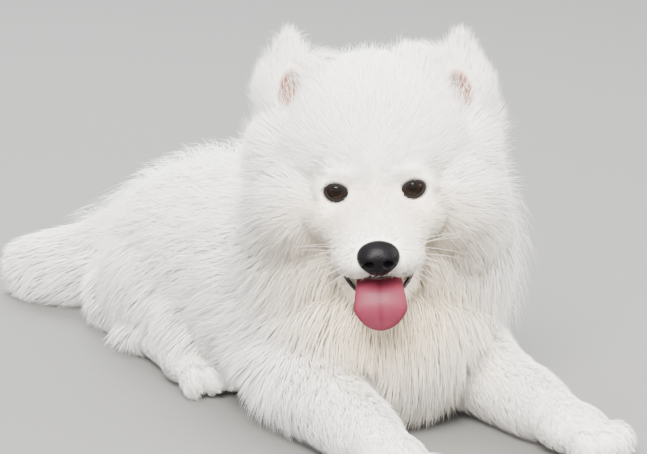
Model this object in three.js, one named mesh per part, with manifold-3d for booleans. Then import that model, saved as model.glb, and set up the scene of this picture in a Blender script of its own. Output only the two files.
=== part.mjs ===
// A samoyed puppy about three months old, life size, lying on its breast with both forelegs
// stretched forward, its head raised and turned to its right, mouth open and tongue out.
// Millimetres. +Z is up, the puppy faces -Y, and +X is its left. The origin is on the floor,
// at the middle of the flat on which the belly rests.
import * as THREE from "three";
import { mergeVertices } from "three/addons/utils/BufferGeometryUtils.js";
import Module from "manifold-3d";

const wasm = await Module();
wasm.setup();

// Driving sizes
const GAP = 0.35; // left between touching nodes
const CORE = 8; // coat that is part of the core, under the locks
const SUNK = 6; // how deep a lock's root lies in its core
const SEAM = 7; // roots stay this far from the edge of their node

// The locks of each region: length, width and thickness, the rise of the tip above the core,
// and the distance between roots
const LOCKS = {
  body: { length: 58, width: 36, thick: 7, rise: 11, apart: 37 },
  ruff: { length: 50, width: 33, thick: 7, rise: 12, apart: 33 },
  crown: { length: 34, width: 25, thick: 6, rise: 7, apart: 28 },
  cheek: { length: 36, width: 26, thick: 6, rise: 11, apart: 28 },
  thigh: { length: 48, width: 32, thick: 7, rise: 9, apart: 35 },
  tail: { length: 48, width: 26, thick: 7, rise: 9, apart: 28 },
};

// The head turns to the puppy's right, nods a little, and tilts its left side up.
const HEAD_AT = new THREE.Vector3(-37, -81, 173); // midpoint between the eyes
const HEAD_TURN = -30;
const HEAD_NOD = 8;
const HEAD_TILT = -3;
const EYE_APART = 52;
const EYE_RADIUS = 10.5;

const WHITE = 0xf3f0ea;
const materials = {
  coat: new THREE.MeshStandardMaterial({ color: WHITE, roughness: 0.9 }),
  nose: new THREE.MeshStandardMaterial({ color: 0x16131a, roughness: 0.35 }),
  eye: new THREE.MeshStandardMaterial({ color: 0x1a0f0b, roughness: 0.08 }),
  tongue: new THREE.MeshStandardMaterial({ color: 0xd9808f, roughness: 0.4 }),
  jaw: new THREE.MeshStandardMaterial({ color: 0xe9e2d6, roughness: 0.8 }),
};

const vec = (x, y, z) => new THREE.Vector3(x, y, z);
const radians = THREE.MathUtils.degToRad;
const mix = THREE.MathUtils.lerp;

// Numbers from 0 to 1 that are the same on every run
function seeded(seed) {
  let state = seed;
  return () => {
    state = (state * 1664525 + 1013904223) % 4294967296;
    return state / 4294967296;
  };
}

// Solids

function solidOf(geometry, place) {
  const plain = geometry.clone();
  if (place) plain.applyMatrix4(place);
  plain.deleteAttribute("normal");
  plain.deleteAttribute("uv");
  const merged = mergeVertices(plain, 1e-3);
  const triVerts = new Uint32Array(merged.index.array);
  const made = () =>
    new wasm.Manifold(new wasm.Mesh({ numProp: 3, vertProperties: merged.attributes.position.array, triVerts }));
  const solid = made();
  if (solid.volume() > 0) return solid;
  for (let i = 0; i < triVerts.length; i += 3) {
    [triVerts[i + 1], triVerts[i + 2]] = [triVerts[i + 2], triVerts[i + 1]];
  }
  return made();
}

function geometryOf(solid) {
  const mesh = solid.getMesh();
  const geometry = new THREE.BufferGeometry();
  geometry.setAttribute("position", new THREE.BufferAttribute(new Float32Array(mesh.vertProperties), 3));
  geometry.setIndex(new THREE.BufferAttribute(new Uint32Array(mesh.triVerts), 1));
  geometry.computeVertexNormals();
  return geometry;
}

const joined = (solids) => solids.reduce((whole, piece) => whole.add(piece));
const cutBy = (solid, ...cutters) => cutters.reduce((left, cutter) => left.subtract(cutter), solid);

// The one closed surface with the most volume, without loose scraps and sealed hollows
function largest(solid) {
  return solid.decompose().reduce((best, body) => (body.volume() > best.volume() ? body : best));
}

// A closed body through rings with the same number of points, with a tip at each end
function through(rings, firstTip, lastTip) {
  const sides = rings[0].length;
  const points = [...rings.flat(), firstTip, lastTip];
  const first = points.length - 2;
  const last = points.length - 1;
  const faces = [];
  for (let i = 0; i < sides; i++) {
    const j = (i + 1) % sides;
    faces.push(first, j, i);
    for (let r = 0; r + 1 < rings.length; r++) {
      const a = r * sides;
      const b = a + sides;
      faces.push(a + i, a + j, b + j, a + i, b + j, b + i);
    }
    const end = (rings.length - 1) * sides;
    faces.push(end + i, end + j, last);
  }
  const geometry = new THREE.BufferGeometry();
  geometry.setAttribute("position", new THREE.Float32BufferAttribute(points.flatMap((p) => p.toArray()), 3));
  geometry.setIndex(faces);
  return geometry;
}

// A point at share t along a list of rows of numbers, on a smooth curve through them
function between(rows, t) {
  const at = t * (rows.length - 1);
  const i = Math.min(Math.floor(at), rows.length - 2);
  const f = at - i;
  const row = (k) => rows[Math.max(0, Math.min(rows.length - 1, k))];
  return rows[0].map((_, n) => {
    const [a, b, c, d] = [row(i - 1)[n], row(i)[n], row(i + 1)[n], row(i + 2)[n]];
    return 0.5 * (2 * b + (c - a) * f + (2 * a - 5 * b + 4 * c - d) * f * f + (3 * b - a - 3 * c + d) * f * f * f);
  });
}

// A limb or trunk: rows of [x, y, z, half width, half depth] along its middle, where the width
// lies along the given side direction. It answers where its surface is, and builds its solid.
class Trunk {
  constructor(rows, side, { sides = 12, rings = 8, round = 0.75 } = {}) {
    Object.assign(this, { rows, side, sides, rings, round });
  }

  frame(t) {
    const here = between(this.rows, t);
    const before = between(this.rows, Math.max(0, t - 0.02));
    const after = between(this.rows, Math.min(1, t + 0.02));
    const along = vec(after[0] - before[0], after[1] - before[1], after[2] - before[2]).normalize();
    const across = this.side.clone().addScaledVector(along, -this.side.dot(along)).normalize();
    const deep = new THREE.Vector3().crossVectors(along, across);
    return { middle: vec(here[0], here[1], here[2]), along, across, deep, wide: here[3], thick: here[4] };
  }

  // The surface at share t of the length and angle round it, moved out by grow
  point(t, angle, grow = 0) {
    const f = this.frame(t);
    return f.middle
      .clone()
      .addScaledVector(f.across, (f.wide + grow) * Math.cos(angle))
      .addScaledVector(f.deep, (f.thick + grow) * Math.sin(angle));
  }

  normal(t, angle) {
    const f = this.frame(t);
    const out = f.across
      .clone()
      .multiplyScalar(Math.cos(angle) / f.wide)
      .addScaledVector(f.deep, Math.sin(angle) / f.thick)
      .normalize();
    const slope = this.point(Math.min(1, t + 0.03), angle).sub(this.point(Math.max(0, t - 0.03), angle)).normalize();
    return out.addScaledVector(slope, -out.dot(slope)).normalize();
  }

  solid(grow = 0, place = undefined) {
    const rings = [];
    for (let r = 0; r < this.rings; r++) {
      const t = r / (this.rings - 1);
      const ring = [];
      for (let s = 0; s < this.sides; s++) ring.push(this.point(t, (2 * Math.PI * s) / this.sides, grow));
      rings.push(ring);
    }
    const first = this.frame(0);
    const last = this.frame(1);
    const cap = (f) => this.round * Math.min(f.wide, f.thick) + grow;
    return solidOf(
      through(
        rings,
        first.middle.clone().addScaledVector(first.along, -cap(first)),
        last.middle.clone().addScaledVector(last.along, cap(last)),
      ),
      place,
    );
  }
}

function ellipsoid(middle, radii, { turn = [0, 0, 0], around = 12, high = 8, grow = 0, place } = {}) {
  const geometry = new THREE.SphereGeometry(1, around, high);
  const own = new THREE.Matrix4().compose(
    middle,
    new THREE.Quaternion().setFromEuler(new THREE.Euler(...turn.map(radians))),
    vec(radii[0] + grow, radii[1] + grow, radii[2] + grow),
  );
  return solidOf(geometry.applyMatrix4(own), place);
}

// The surface that locks grow on: it can be sampled and followed
class Hide {
  constructor(solid) {
    const geometry = geometryOf(solid);
    const position = geometry.attributes.position;
    const normal = geometry.attributes.normal;
    const index = geometry.index.array;
    this.faces = [];
    let area = 0;
    for (let i = 0; i < index.length; i += 3) {
      const corners = [0, 1, 2].map((k) => vec(0, 0, 0).fromBufferAttribute(position, index[i + k]));
      const normals = [0, 1, 2].map((k) => vec(0, 0, 0).fromBufferAttribute(normal, index[i + k]));
      const triangle = new THREE.Triangle(...corners);
      area += triangle.getArea();
      this.faces.push({ triangle, normals, area });
    }
    this.area = area;
  }

  at(face, point) {
    const share = face.triangle.getBarycoord(point, vec(0, 0, 0));
    const out = vec(0, 0, 0);
    face.normals.forEach((n, k) => out.addScaledVector(n, share.getComponent(k)));
    return { point, normal: out.normalize() };
  }

  // A point on the surface for three numbers from 0 to 1, spread evenly by area
  sample(a, b, c) {
    const wanted = a * this.area;
    const face = this.faces.find((f) => f.area >= wanted);
    const [p, q, r] = [face.triangle.a, face.triangle.b, face.triangle.c];
    const root = Math.sqrt(b);
    const point = vec(0, 0, 0)
      .addScaledVector(p, 1 - root)
      .addScaledVector(q, root * (1 - c))
      .addScaledVector(r, root * c);
    return this.at(face, point);
  }

  nearest(point) {
    let best = null;
    let least = Infinity;
    const found = vec(0, 0, 0);
    for (const face of this.faces) {
      face.triangle.closestPointToPoint(point, found);
      const distance = found.distanceToSquared(point);
      if (distance < least) {
        least = distance;
        best = this.at(face, found.clone());
      }
    }
    return best;
  }
}

// Where a lock runs: its root and three more places over the surface, each with the normal
// there. It follows the lie of the coat, which is a direction for each point.
function lockPath(hide, root, lie, length) {
  const places = [root];
  for (let i = 0; i < 3; i++) {
    const { point, normal } = places[i];
    const flow = lie(point);
    flow.addScaledVector(normal, -flow.dot(normal)).normalize();
    places.push(hide.nearest(point.clone().addScaledVector(flow, length / 3)));
  }
  return places;
}

// A flat, tapered lock of hair on its path. It leaves its root, bends over and lies along the
// coat, and its tip ends at the given rise above the surface.
function lock({ places, width, thick, rise }, grow = 0) {
  const heights = [-SUNK, 0.6 * rise, rise, 0.9 * rise];
  const shares = [0.8, 1, 0.7];
  const points = places.map(({ point, normal }, i) => point.clone().addScaledVector(normal, heights[i]));
  const rings = shares.map((share, i) => {
    const run = points[i + 1].clone().sub(points[Math.max(0, i - 1)]).normalize();
    const across = new THREE.Vector3().crossVectors(places[i].normal, run).normalize();
    const up = new THREE.Vector3().crossVectors(run, across).normalize();
    const half = 0.5 * width * share + grow;
    const tall = 0.5 * thick * share + grow;
    const corners = [
      [half, 0],
      [0, tall],
      [-half, 0],
      [0, -tall],
    ];
    return corners.map(([a, b]) => points[i].clone().addScaledVector(across, a).addScaledVector(up, b));
  });
  const out = points[3].clone().sub(points[2]).normalize();
  const start = points[0].clone().addScaledVector(places[0].normal, -0.5 - grow);
  return solidOf(through(rings, start, points[3].clone().addScaledVector(out, 3 * grow)));
}

// The trunk of the body and the neck, as cores without their coat

const SIDES = { right: -1, left: 1 };
const BOTH = Object.values(SIDES);
const SIDEWAYS = vec(1, 0, 0);
const torso = new Trunk(
  [
    [0, -52, 54, 50, 50],
    [0, -15, 70, 70, 76],
    [0, 35, 75, 78, 81],
    [0, 95, 70, 77, 76],
    [0, 155, 64, 75, 70],
    [0, 210, 58, 72, 64],
    [0, 262, 50, 58, 48],
  ],
  SIDEWAYS,
  { sides: 14, rings: 9 },
);
const neck = new Trunk(
  [
    [-12, -34, 190, 56, 42],
    [-4, -28, 150, 75, 52],
    [3, -15, 108, 82, 58],
    [6, 5, 70, 74, 52],
  ],
  vec(0.93, -0.37, 0),
  { sides: 14, rings: 6 },
);

// The head, in its own frame: x to its left, y back, z up, from the midpoint between the eyes

const place = new THREE.Matrix4().compose(
  HEAD_AT,
  new THREE.Quaternion()
    .setFromAxisAngle(vec(0, 0, 1), radians(HEAD_TURN))
    .multiply(new THREE.Quaternion().setFromAxisAngle(vec(1, 0, 0), radians(HEAD_NOD)))
    .multiply(new THREE.Quaternion().setFromAxisAngle(vec(0, 1, 0), radians(HEAD_TILT))),
  vec(1, 1, 1),
);
const onHead = (point) => point.clone().applyMatrix4(place);
const alongHead = (direction) => direction.clone().transformDirection(place);

const muzzle = new Trunk(
  [
    [0, 14, -16, 40, 24],
    [0, -8, -20, 33, 21],
    [0, -28, -24, 25.5, 18],
    [0, -45, -28, 20.5, 14],
  ],
  SIDEWAYS,
  { sides: 16, rings: 7, round: 0.5 },
);
const jaw = new Trunk(
  [
    [0, 24, -50, 28, 13],
    [0, -8, -55, 22, 8.5],
    [0, -36, -61, 12, 5.5],
  ],
  SIDEWAYS,
  { sides: 12, rings: 6 },
);
const tongue = new Trunk(
  [
    [0, 6, -44, 12, 2.2],
    [0, -20, -47, 15.5, 2.6],
    [0, -42, -49.5, 17, 2.6],
    [0, -51, -58, 16.5, 2.4],
    [0, -51, -74, 11, 2],
  ],
  SIDEWAYS,
  { sides: 10, rings: 10 },
);

// The skull, the cheeks and the fur of the temples under the ears
const skull = ellipsoid(vec(0, 53, 16), [65, 56, 57], { around: 16, high: 11, place });
const cheek = (s) => ellipsoid(vec(50 * s, 46, -24), [29, 36, 38], { grow: CORE, place });
const temple = (s) => ellipsoid(vec(43 * s, 54, 24), [26, 32, 34], { grow: CORE, place });
const brow = (s) => ellipsoid(vec(19 * s, 2, 13), [18, 12, 9], { around: 10, high: 6, place });
const headCore = joined([skull, ...BOTH.flatMap((s) => [cheek(s), temple(s), brow(s)]), muzzle.solid(0, place)]);

// Pieces of the head, each also made a little larger to cut its neighbours clear of it

const eyeAt = (s) => vec((s * EYE_APART) / 2, 4, 0);
const eyeball = (s, grow = 0) =>
  ellipsoid(eyeAt(s), [EYE_RADIUS, EYE_RADIUS, EYE_RADIUS], { around: 12, high: 9, grow, place });

// The rims of an eye's two lids, as one almond ring
function eyelids(s) {
  const ring = new THREE.TorusGeometry(1, 0.2, 5, 12).scale(9.4, 6.8, 9);
  ring.rotateX(Math.PI / 2).rotateY(radians(9 * s)).rotateZ(radians(14 * s));
  ring.translate((s * EYE_APART) / 2, -3.6, 0);
  return solidOf(ring, place);
}

// The leather of the nose with its two nostrils, their slits and the groove between them
function noseLeather(grow = 0) {
  const pad = ellipsoid(vec(0, -52, -25), [13.5, 9, 10.5], { around: 12, high: 9, grow, place });
  if (grow > 0) return pad;
  const small = { around: 6, high: 4, place };
  const holes = BOTH.flatMap((s) => [
    ellipsoid(vec(6.4 * s, -60.5, -26), [2.6, 4.5, 2.3], { ...small, turn: [0, 0, 35 * s] }),
    ellipsoid(vec(10.6 * s, -57, -27.5), [3.6, 3.2, 0.9], { ...small, turn: [0, 25 * s, 0] }),
  ]);
  return cutBy(pad, ...holes, ellipsoid(vec(0, -61.6, -30), [0.7, 1.6, 7], small));
}

// The lip of one jaw, from corner to corner round the front. Half of its path is given.
function lip(half, radius) {
  const other = half.slice(0, -1).reverse();
  const points = [...half.map(([x, y, z]) => vec(-x, y, z)), ...other.map((p) => vec(...p))];
  const section = new THREE.Shape();
  section.absarc(0, 0, radius, 0, 2 * Math.PI);
  const extrudePath = new THREE.CatmullRomCurve3(points);
  const options = { steps: 12, curveSegments: 3, extrudePath, bevelEnabled: false };
  return solidOf(new THREE.ExtrudeGeometry(section, options), place);
}
const upperLip = () => lip([[29, -4, -42], [27, -18, -42.5], [20, -36, -42], [10, -47, -42], [0, -50.5, -41]], 2.2);
const lowerLip = (grow = 0) =>
  lip([[24, -2, -48], [20, -14, -50.5], [14, -28, -54.5], [7, -37.5, -57], [0, -40, -57.5]], 1.7 + grow);
const lowerJaw = (grow = 0) => jaw.solid(grow, place).add(lowerLip(grow));

// An ear in its fur, with the cup in front
function ear(s, grow = 0) {
  const shell = new Trunk(
    [
      [53 * s, 66, 26, 32, 16],
      [59 * s, 66, 48, 28, 13],
      [60 * s, 66, 66, 18, 9],
      [60 * s, 66, 79, 7, 5],
    ],
    vec(0.94, 0.35 * s, 0),
    { sides: 12, rings: 6 },
  ).solid(grow, place);
  if (grow > 0) return shell;
  const cup = { turn: [0, 8 * s, 20 * s], around: 12, high: 8, place };
  return shell.subtract(ellipsoid(vec(57 * s, 50, 47), [10, 10, 20], cup));
}

// Legs, paws and tail

const FORELEG = {
  right: [
    [-46, 20, 52, 36, 38],
    [-56, -30, 38, 31, 32],
    [-62, -75, 28, 28, 29],
    [-64, -118, 24, 25, 26],
  ],
  left: [
    [52, 15, 52, 36, 38],
    [58, -35, 38, 30, 32],
    [63, -82, 27, 26, 28],
    [66, -125, 22, 23, 24],
  ],
};
const FOREPAW = { right: vec(-65, -155, 17), left: vec(68, -164, 17) };
const FOREPAW_TURN = { right: 2, left: 10 };
const WRIST = 24; // from the middle of a forepaw back to its wrist

// A paw: the pad of the foot and four toes in front of it, or one plain form to cut room for it
function paw(at, turn, grow = 0) {
  const set = new THREE.Matrix4().makeRotationZ(radians(turn)).setPosition(at);
  const toe = { around: 6, high: 5, place: set };
  if (grow > 0) return ellipsoid(vec(0, -6, 0), [30, 47, 25], { place: set });
  return joined([
    ellipsoid(vec(0, 6, 1), [22, 30, 18], { around: 10, high: 6, place: set }),
    ...[-1.5, -0.5, 0.5, 1.5].map((k) =>
      ellipsoid(vec(10.4 * k, -19 - 7 * Math.cos(k), -3), [8.2, 15, 13.5], { ...toe, turn: [0, 0, 7 * k] }),
    ),
  ]);
}
const foreleg = (side, grow = 0) =>
  new Trunk(FORELEG[side], SIDEWAYS, { sides: 12, rings: 7, round: 0.6 }).solid(grow);

const thigh = (s) =>
  joined([
    ellipsoid(vec(58 * s, 184, 48), [36, 84, 55], { around: 14, high: 10 }),
    ellipsoid(vec(70 * s, 108, 42), [27, 36, 38], { around: 10, high: 7 }),
    ellipsoid(vec(50 * s, 249, 27), [38, 43, 41], { around: 10, high: 7 }),
  ]);
const thighRegion = (s, grow = 0) =>
  ellipsoid(vec(100 * s, 184, 40), [57, 130, 90], { around: 12, high: 8, grow });
const hindpaw = (s) => {
  const rows = [
    [72 * s, 190, 17, 17, 17],
    [76 * s, 140, 16, 17, 16],
    [78 * s, 110, 15, 18, 15],
  ];
  return new Trunk(rows, SIDEWAYS, { sides: 8, rings: 4 }).solid().add(paw(vec(78 * s, 92, 15), -4 * s));
};
const hindpawRoom = (s) => ellipsoid(vec(78 * s, 124, 8), [37, 108, 38], { around: 10, high: 8 });
const tail = new Trunk(
  [
    [-2, 274, 84, 15, 14],
    [-20, 300, 56, 17, 16],
    [-46, 326, 34, 18, 17],
    [-72, 354, 26, 14, 13],
    [-91, 376, 23, 6, 6],
  ],
  SIDEWAYS,
  { sides: 10, rings: 7 },
);
// Cuts. Everything on the side of a plane that its normal points to, beyond half the gap:

function beyond(point, normal, gap = GAP / 2) {
  const reach = 900;
  const block = new THREE.BoxGeometry(reach, reach, reach).translate(0, 0, reach / 2);
  block.applyQuaternion(new THREE.Quaternion().setFromUnitVectors(vec(0, 0, 1), normal));
  block.translate(...point.clone().addScaledVector(normal, gap).toArray());
  return solidOf(block);
}
const aboveFloor = beyond(vec(0, 0, 0), vec(0, 0, 1), 0);
const flipped = (normal) => normal.clone().negate();

const headEdge = onHead(vec(0, 62, -25));
const toHead = alongHead(vec(0, -0.5, 0.866));
const neckEdge = vec(0, 0, 112);
const toNeck = vec(0, -0.49, 0.872).normalize();

// The whole of the flesh, parted into nodes
const tailCore = tail.solid(CORE - 2);
const flesh = joined([torso.solid(CORE), neck.solid(CORE), headCore, ...BOTH.map(thigh)]);
const behindHead = flesh.intersect(beyond(headEdge, flipped(toHead)));
const cores = {
  head: flesh.intersect(beyond(headEdge, toHead)),
  neck: behindHead.intersect(beyond(neckEdge, toNeck)),
  torso: behindHead.intersect(beyond(neckEdge, flipped(toNeck))),
  tail: tailCore,
};
for (const [side, s] of Object.entries(SIDES)) {
  cores["hindleg_" + side] = cores.torso.intersect(thighRegion(s));
}

// Locks

const ontoHead = place.clone().invert();

// How far a point lies inside the node it belongs to, and which node that is
function nodeAt(point) {
  const fromHead = point.clone().sub(headEdge).dot(toHead);
  if (fromHead > 0) return ["head", fromHead];
  const fromNeck = point.clone().sub(neckEdge).dot(toNeck);
  if (fromNeck > 0) return ["neck", Math.min(fromNeck, -fromHead)];
  for (const [side, s] of Object.entries(SIDES)) {
    const inside = 1 - vec((point.x - 100 * s) / 57, (point.y - 184) / 130, (point.z - 40) / 90).length();
    if (inside > -0.1) return ["hindleg_" + side, Math.abs(inside) * 57];
  }
  return ["torso", Math.min(-fromNeck, -fromHead)];
}

// The lie of the coat: back over the head, down and out on the chest, back and down on the body
function lie(point) {
  const local = point.clone().applyMatrix4(ontoHead);
  const [node] = nodeAt(point);
  if (node === "head") return alongHead(vec(local.x / 130, 1, local.z > 20 ? 0.1 : -0.75).normalize());
  const chest = THREE.MathUtils.smoothstep(-point.y, -10, 55);
  const side = Math.sign(point.x) * 0.25;
  return vec(side, mix(1, 0.12, chest), mix(-0.35, -1, chest)).normalize();
}
const tailLie = (point) => {
  const t = THREE.MathUtils.clamp((point.y - 274) / 102, 0, 0.98);
  return tail.frame(t).along;
};

// Short fur is left smooth: the face, the muzzle, and what the ears, legs and floor take up
function bare(point) {
  const local = point.clone().applyMatrix4(ontoHead);
  if (local.clone().sub(vec(0, -14, -14)).divide(vec(50, 50, 58)).length() < 1) return true;
  if (BOTH.some((s) => local.clone().sub(vec(54 * s, 54, 50)).divide(vec(34, 24, 40)).length() < 1)) return true;
  return point.z < 16;
}

function region(point) {
  const [node] = nodeAt(point);
  if (node === "neck") return LOCKS.ruff;
  if (node === "torso") return LOCKS.body;
  if (node !== "head") return LOCKS.thigh;
  return point.clone().applyMatrix4(ontoHead).z > 22 ? LOCKS.crown : LOCKS.cheek;
}

// Locks whose roots keep their distance, tried at many seeded places
function spread(hide, seed, tries, flow, sizeAt, ownerAt) {
  const random = seeded(seed);
  const grown = [];
  for (let i = 0; i < tries; i++) {
    const root = hide.sample(random(), random(), random());
    const [node, inside] = ownerAt(root.point);
    if (inside < SEAM) continue;
    const size = sizeAt(root.point);
    if (grown.some((other) => other.places[0].point.distanceTo(root.point) < size.apart)) continue;
    const length = size.length * mix(0.85, 1.15, random());
    grown.push({ ...size, node, places: lockPath(hide, root, flow, length) });
  }
  return grown;
}
const hide = new Hide(flesh);
const onBody = spread(hide, 12, 9000, lie, region, (point) => (bare(point) ? ["", -1] : nodeAt(point)));
const onTail = spread(
  new Hide(tailCore),
  5,
  1500,
  tailLie,
  () => LOCKS.tail,
  (point) => ["tail", point.z < 10 || point.y < 292 ? -1 : SEAM],
);
const locks = [...onBody, ...onTail];
const locksOf = (node, grow = 0) => locks.filter((one) => one.node === node).map((one) => lock(one, grow));

// The nodes, each clear of those before it

const nodes = {};
const rooms = [];
function addNode(name, material, solid, room) {
  const clear = rooms.reduce((left, taken) => left.subtract(taken), solid);
  nodes[name] = [clear.intersect(aboveFloor), material];
  rooms.push(...room);
}
for (const [side, s] of Object.entries(SIDES)) {
  addNode("eye_" + side, materials.eye, eyeball(s), [eyeball(s, GAP)]);
  addNode("ear_" + side, materials.coat, ear(s), [ear(s, GAP)]);
}
addNode("nose", materials.nose, noseLeather(), [noseLeather(GAP)]);
addNode("tongue", materials.tongue, tongue.solid(0, place), [tongue.solid(GAP, place)]);
addNode("lower_jaw", materials.jaw, lowerJaw(), [lowerJaw(GAP)]);
for (const [side, s] of Object.entries(SIDES)) {
  const wrist = FOREPAW[side].clone().add(vec(0, WRIST, 0));
  const limb = foreleg(side).add(paw(FOREPAW[side], FOREPAW_TURN[side]));
  addNode("forepaw_" + side, materials.coat, limb.intersect(beyond(wrist, vec(0, -1, 0))), []);
  addNode("foreleg_" + side, materials.coat, limb.intersect(beyond(wrist, vec(0, 1, 0))), [foreleg(side, GAP)]);
  addNode("hindpaw_" + side, materials.coat, hindpaw(s), [hindpawRoom(s)]);
}
const trimmings = { head: [...BOTH.map(eyelids), upperLip()] };
const taken = { tail: [tail.solid(CORE - 2 + GAP)] };
for (const side of Object.keys(SIDES)) taken["hindleg_" + side] = [thighRegion(SIDES[side], GAP)];
for (const name of ["head", "neck", "tail", "hindleg_right", "hindleg_left", "torso"]) {
  const whole = joined([cores[name], ...(trimmings[name] ?? []), ...locksOf(name)]);
  addNode(name, materials.coat, whole, [...locksOf(name, GAP), ...(taken[name] ?? [])]);
}

const model = new THREE.Group();
for (const [name, [solid, material]] of Object.entries(nodes)) {
  const mesh = new THREE.Mesh(geometryOf(largest(solid)), material);
  mesh.name = name;
  model.add(mesh);
}

export default model;
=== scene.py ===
"""A samoyed puppy about three months old, lying on its breast with its forelegs stretched forward.

One skin carries the whole animal. Its coat is made of thin tapered tufts that follow the lie of
the hair. Eyes, lids, nose, lips, mouth, tongue, whiskers and claws are pieces of their own.
Tables are in millimetres and the stage in metres. As in the solids, +Z is up; the puppy faces -Y.
"""

import math

import bmesh
import bpy
import numpy as np
from bpy.props import FloatProperty, FloatVectorProperty, IntProperty, PointerProperty
from mathutils import Euler, Matrix, Vector
from mathutils.kdtree import KDTree


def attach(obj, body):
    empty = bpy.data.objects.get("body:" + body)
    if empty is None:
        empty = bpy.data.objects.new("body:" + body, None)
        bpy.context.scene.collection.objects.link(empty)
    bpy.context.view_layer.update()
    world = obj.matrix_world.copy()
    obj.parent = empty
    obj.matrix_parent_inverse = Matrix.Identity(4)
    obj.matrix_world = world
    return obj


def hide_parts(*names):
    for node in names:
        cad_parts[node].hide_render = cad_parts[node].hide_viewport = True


bl_info = {
    "name": "Samoyed puppy",
    "version": (1, 0, 0),
    "blender": (4, 5, 0),
    "location": "View3D > Sidebar > Puppy",
    "description": "A lying samoyed puppy with its coat",
    "category": "Add Mesh",
}

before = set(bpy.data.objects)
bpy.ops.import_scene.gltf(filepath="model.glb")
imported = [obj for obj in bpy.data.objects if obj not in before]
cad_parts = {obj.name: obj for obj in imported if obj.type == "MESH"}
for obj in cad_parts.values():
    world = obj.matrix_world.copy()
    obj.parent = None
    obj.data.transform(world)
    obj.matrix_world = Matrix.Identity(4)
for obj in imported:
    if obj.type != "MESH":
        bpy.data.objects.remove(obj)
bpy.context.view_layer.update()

MM = 0.001
BOTH = (-1, 1)
SIDES = {-1: "right", 1: "left"}
X_AXIS = Vector((1, 0, 0))
FLESH = ["head", "neck", "torso", "tail", "lower_jaw"] + [
    f"{part}_{side}"
    for part in ("ear", "foreleg", "forepaw", "hindleg", "hindpaw")
    for side in SIDES.values()
]

# Trunks and limbs without their coat: rows of x, y, z, half width, half depth
TORSO = [
    (0, -52, 54, 50, 50),
    (0, -15, 70, 70, 76),
    (0, 35, 75, 78, 81),
    (0, 95, 70, 77, 76),
    (0, 155, 64, 75, 70),
    (0, 210, 58, 72, 64),
    (0, 262, 50, 58, 48),
]
NECK = [
    (-12, -34, 190, 56, 42),
    (-4, -28, 150, 75, 52),
    (3, -15, 108, 82, 58),
    (6, 5, 70, 74, 52),
]
NECK_SIDE = Vector((0.93, -0.37, 0))
TAIL = [
    (-2, 274, 84, 15, 14),
    (-20, 300, 56, 17, 16),
    (-46, 326, 34, 18, 17),
    (-72, 354, 26, 14, 13),
    (-91, 376, 23, 6, 6),
]
FORELEG = {
    -1: [
        (-46, 20, 52, 36, 38),
        (-56, -30, 38, 31, 32),
        (-62, -75, 28, 27, 28),
        (-64, -112, 24, 24, 25),
        (-65, -144, 19, 23, 21),
    ],
    1: [
        (52, 15, 52, 36, 38),
        (58, -35, 38, 30, 32),
        (63, -82, 27, 26, 27),
        (66, -120, 22, 23, 24),
        (68, -153, 18, 23, 20),
    ],
}
HINDFOOT = [(72, 190, 17, 17, 17), (76, 140, 16, 17, 16), (78, 110, 15, 18, 15)]

# Paws: their middle and turn in degrees, their pad, and the toes' places across
FOREPAW = {-1: ((-65, -155, 17), 2), 1: ((68, -164, 17), 10)}
HINDPAW = ((78, 92, 15), -4)
PAW_PAD = ((0, 6, 1), (19, 27, 15))
TOES = (-1.5, -0.5, 0.5, 1.5)

# Ellipsoids beside the trunks: middle and radii, those of the head in its own frame
BREAST = ((-2, -42, 76), (60, 36, 44))
THIGH = [((56, 184, 44), (28, 78, 46)), ((67, 110, 38), (20, 30, 31)), ((48, 248, 27), (31, 36, 32))]
SKULL = [((0, 50, 13), (58, 54, 52)), ((0, 20, 0), (43, 26, 25))]
HEAD_SIDE = {
    "cheek": ((48, 46, -28), (28, 34, 40)),
    "crown": ((33, 62, 37), (29, 26, 28)),
    "foot of the ear": ((37, 62, 45), (22, 20, 25)),
    "temple": ((49, 56, 6), (25, 30, 33)),
    "jowl": ((43, 30, -19), (26, 27, 31)),
    "brow": ((17, 4, 13), (16, 9, 7)),
    "eye socket": ((26, 4, 0), (13, 10, 11.5)),
    "lip pad": ((12.7, -35, -30.5), (14.8, 16.5, 11.5)),
    "cheekbone": ((25, 7, -17), (17, 23, 16)),
}

# The head's own frame: x to its left, y back, z up, from the midpoint between the eyes
HEAD = (
    Matrix.Translation((-37, -81, 173))
    @ Matrix.Rotation(math.radians(-30), 4, "Z")
    @ Matrix.Rotation(math.radians(8), 4, "X")
    @ Matrix.Rotation(math.radians(-3), 4, "Y")
)
HEAD_TURN = np.array(HEAD)[:3, :3]
HEAD_AT = np.array(HEAD)[:3, 3] * MM
MUZZLE = [
    (0, 14, -16, 39, 22),
    (0, -8, -20, 33, 19),
    (0, -28, -25, 27.5, 15.5),
    (0, -44, -28, 22.5, 12),
]
JAW = [
    (0, 24, -50, 28, 12),
    (0, -8, -55, 23.5, 8),
    (0, -28, -59, 18, 6.5),
    (0, -39, -61, 11, 4.8),
]
TONGUE = [
    (0, 6, -44, 12, 2.2),
    (0, -20, -46.5, 13.5, 2.7),
    (0, -40, -48.5, 15, 2.8),
    (0, -49, -56, 16.5, 2.7),
    (0, -52, -64, 17.5, 2.5),
    (0, -51, -75, 16, 2.2),
]
UPPER_LIP = [
    (22, 5, -38),
    (25, -9, -41),
    (23.5, -23, -42),
    (17.5, -35, -41.5),
    (9, -43, -41),
    (0, -45, -40.5),
]
LOWER_LIP = [(25, 0, -44), (23, -12, -48.5), (18, -26, -53.5), (10, -37.5, -56.5), (0, -41, -57.5)]
MOUTH_HOLLOW = ((0, -4, -46), (23, 34, 6))
NOSE = ((0, -52, -25.5), (13.4, 9, 11.4))

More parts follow.
